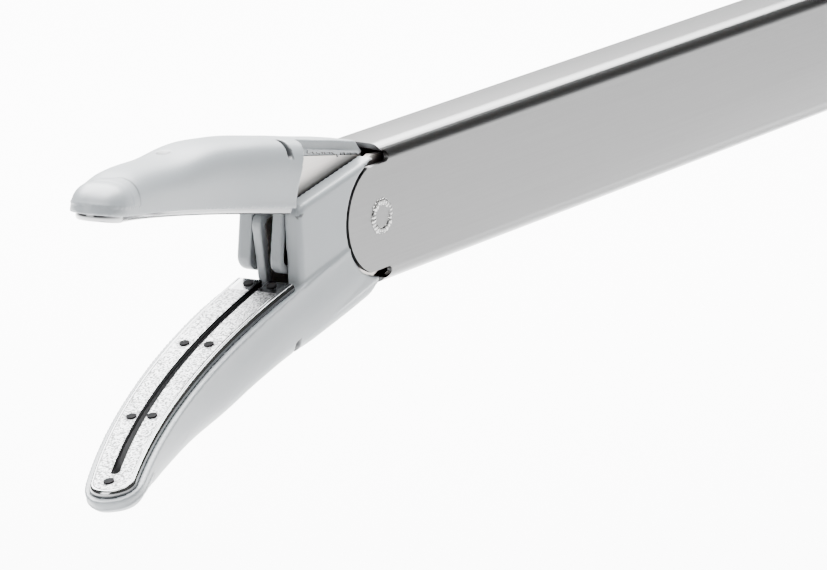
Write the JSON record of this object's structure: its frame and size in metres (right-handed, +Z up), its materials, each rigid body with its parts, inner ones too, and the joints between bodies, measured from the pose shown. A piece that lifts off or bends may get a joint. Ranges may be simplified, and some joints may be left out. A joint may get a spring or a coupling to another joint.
{
  "type": "vessel sealer",
  "caption": "Pistol-grip vessel sealer: lever-closed curved jaws with steel seal plates on a turning rectangular shaft, and a trigger-driven knife between them.",
  "frame": {"origin": "on the shaft's axis at the jaws' pivot", "axes": "+X from the handle to the jaw tips, +Z up, +Y the instrument's left side"},
  "size_m": [0.3497, 0.032, 0.131],
  "materials": {
    "shaft_steel": "satin",
    "seal_steel": "bead-blasted face with a polished rim",
    "flange_steel": "brushed",
    "jaw_plastic": "matte",
    "stop_bead": "matte",
    "inner_steel": "ground",
    "inner_plastic": "matte",
    "lead_coat": "matte",
    "housing_plastic": "fine texture",
    "control_plastic": "fine texture",
    "button_plastic": "gloss",
    "board": "gloss"
  },
  "bodies": {
    "handle": {"housing_left": "housing_plastic", "housing_right": "housing_plastic", "housing_screws": "inner_steel", "knob_bearing": "inner_plastic", "lever_pin": "inner_steel", "gear_axle": "inner_steel", "switch_board": "board", "cord_gland": "inner_plastic", "drive_spring": "inner_steel", "trigger_spring": "inner_steel", "button_spring": "inner_steel"},
    "lever": {"lever": "control_plastic"},
    "carriage": {"drive_carriage": "inner_plastic"},
    "shaft": {"shaft_tube": "shaft_steel", "pivot_studs": "shaft_steel", "rotation_knob": "control_plastic", "knife_guide": "inner_plastic", "sealing_leads": "lead_coat", "knife_strip": "inner_steel"},
    "sleeve": {"drive_sleeve": "inner_steel", "drive_spool": "inner_steel", "cam_pins": "inner_steel"},
    "upper_jaw": {"upper_jaw_frame": "flange_steel", "upper_jaw_cover": "jaw_plastic", "upper_insulator": "jaw_plastic", "upper_seal_plate": "seal_steel"},
    "lower_jaw": {"lower_jaw_frame": "flange_steel", "lower_jaw_cover": "jaw_plastic", "lower_insulator": "jaw_plastic", "lower_seal_plate": "seal_steel", "stop_beads": "stop_bead"},
    "trigger": {"knife_trigger": "control_plastic"},
    "gear": {"knife_gear": "inner_plastic"},
    "slider": {"knife_slider": "inner_plastic"},
    "knife_rod": {"knife_rod": "inner_steel"},
    "knife_blade": {"knife_blade": "inner_steel"},
    "button": {"activation_button": "button_plastic"}
  },
  "joints": [
    {"name": "lever_pull", "type": "hinge", "parent": "handle", "child": "lever", "pos_m": [-0.2, 0, 0.0144], "axis": [0, 1, 0], "range_deg": [0, 25], "stiffness_Nm_per_rad": 2, "springref_deg": -11.46},
    {"name": "carriage_slide", "type": "slide", "parent": "handle", "child": "carriage", "axis": [-1, 0, 0], "range_m": [0, 0.0064], "deforming": ["drive_spring"]},
    {"name": "shaft_turn", "type": "hinge", "parent": "handle", "child": "shaft", "pos_m": [-0.165, 0, 0], "axis": [1, 0, 0], "range_deg": [-90, 90]},
    {"name": "sleeve_draw", "type": "slide", "parent": "shaft", "child": "sleeve", "axis": [-1, 0, 0], "range_m": [0, 0.0064]},
    {"name": "upper_jaw_close", "type": "hinge", "parent": "shaft", "child": "upper_jaw", "pos_m": [0, 0, 0], "axis": [0, 1, 0], "range_deg": [0, 12.26]},
    {"name": "lower_jaw_close", "type": "hinge", "parent": "shaft", "child": "lower_jaw", "pos_m": [0, 0, 0], "axis": [0, -1, 0], "range_deg": [0, 13.26]},
    {"name": "trigger_pull", "type": "slide", "parent": "handle", "child": "trigger", "axis": [-1, 0, 0], "range_m": [0, 0.01725], "stiffness_N_per_m": 400, "springref_m": -0.01, "deforming": ["trigger_spring"]},
    {"name": "gear_spin", "type": "hinge", "parent": "handle", "child": "gear", "pos_m": [-0.245, 0, -0.015], "axis": [0, 1, 0], "range_deg": [0, 164.8]},
    {"name": "slider_slide", "type": "slide", "parent": "handle", "child": "slider", "axis": [1, 0, 0], "range_m": [0, 0.03451]},
    {"name": "rod_slide", "type": "slide", "parent": "shaft", "child": "knife_rod", "axis": [1, 0, 0], "range_m": [0, 0.03451], "deforming": ["knife_strip"]},
    {"name": "blade_sweep", "type": "hinge", "parent": "shaft", "child": "knife_blade", "pos_m": [0.01116, 0.07665, 0], "axis": [0, 0, 1], "range_deg": [0, 25.8]},
    {"name": "button_press", "type": "slide", "parent": "handle", "child": "button", "axis": [1, 0, 0], "range_m": [0, 0.0015], "stiffness_N_per_m": 800, "springref_m": -0.001, "deforming": ["button_spring"]}
  ],
  "couplings": [
    {"joint": "carriage_slide", "follows": "lever_pull", "m_per_rad": 0.014439},
    {"joint": "sleeve_draw", "follows": "lever_pull", "m_per_rad": 0.014439},
    {"joint": "upper_jaw_close", "follows": "lever_pull", "ratio": 0.49},
    {"joint": "lower_jaw_close", "follows": "lever_pull", "ratio": 0.53},
    {"joint": "gear_spin", "follows": "trigger_pull", "rad_per_m": 166.67},
    {"joint": "slider_slide", "follows": "trigger_pull", "ratio": 2},
    {"joint": "rod_slide", "follows": "trigger_pull", "ratio": 2},
    {"joint": "blade_sweep", "follows": "trigger_pull", "rad_per_m": 26.093}
  ]
}
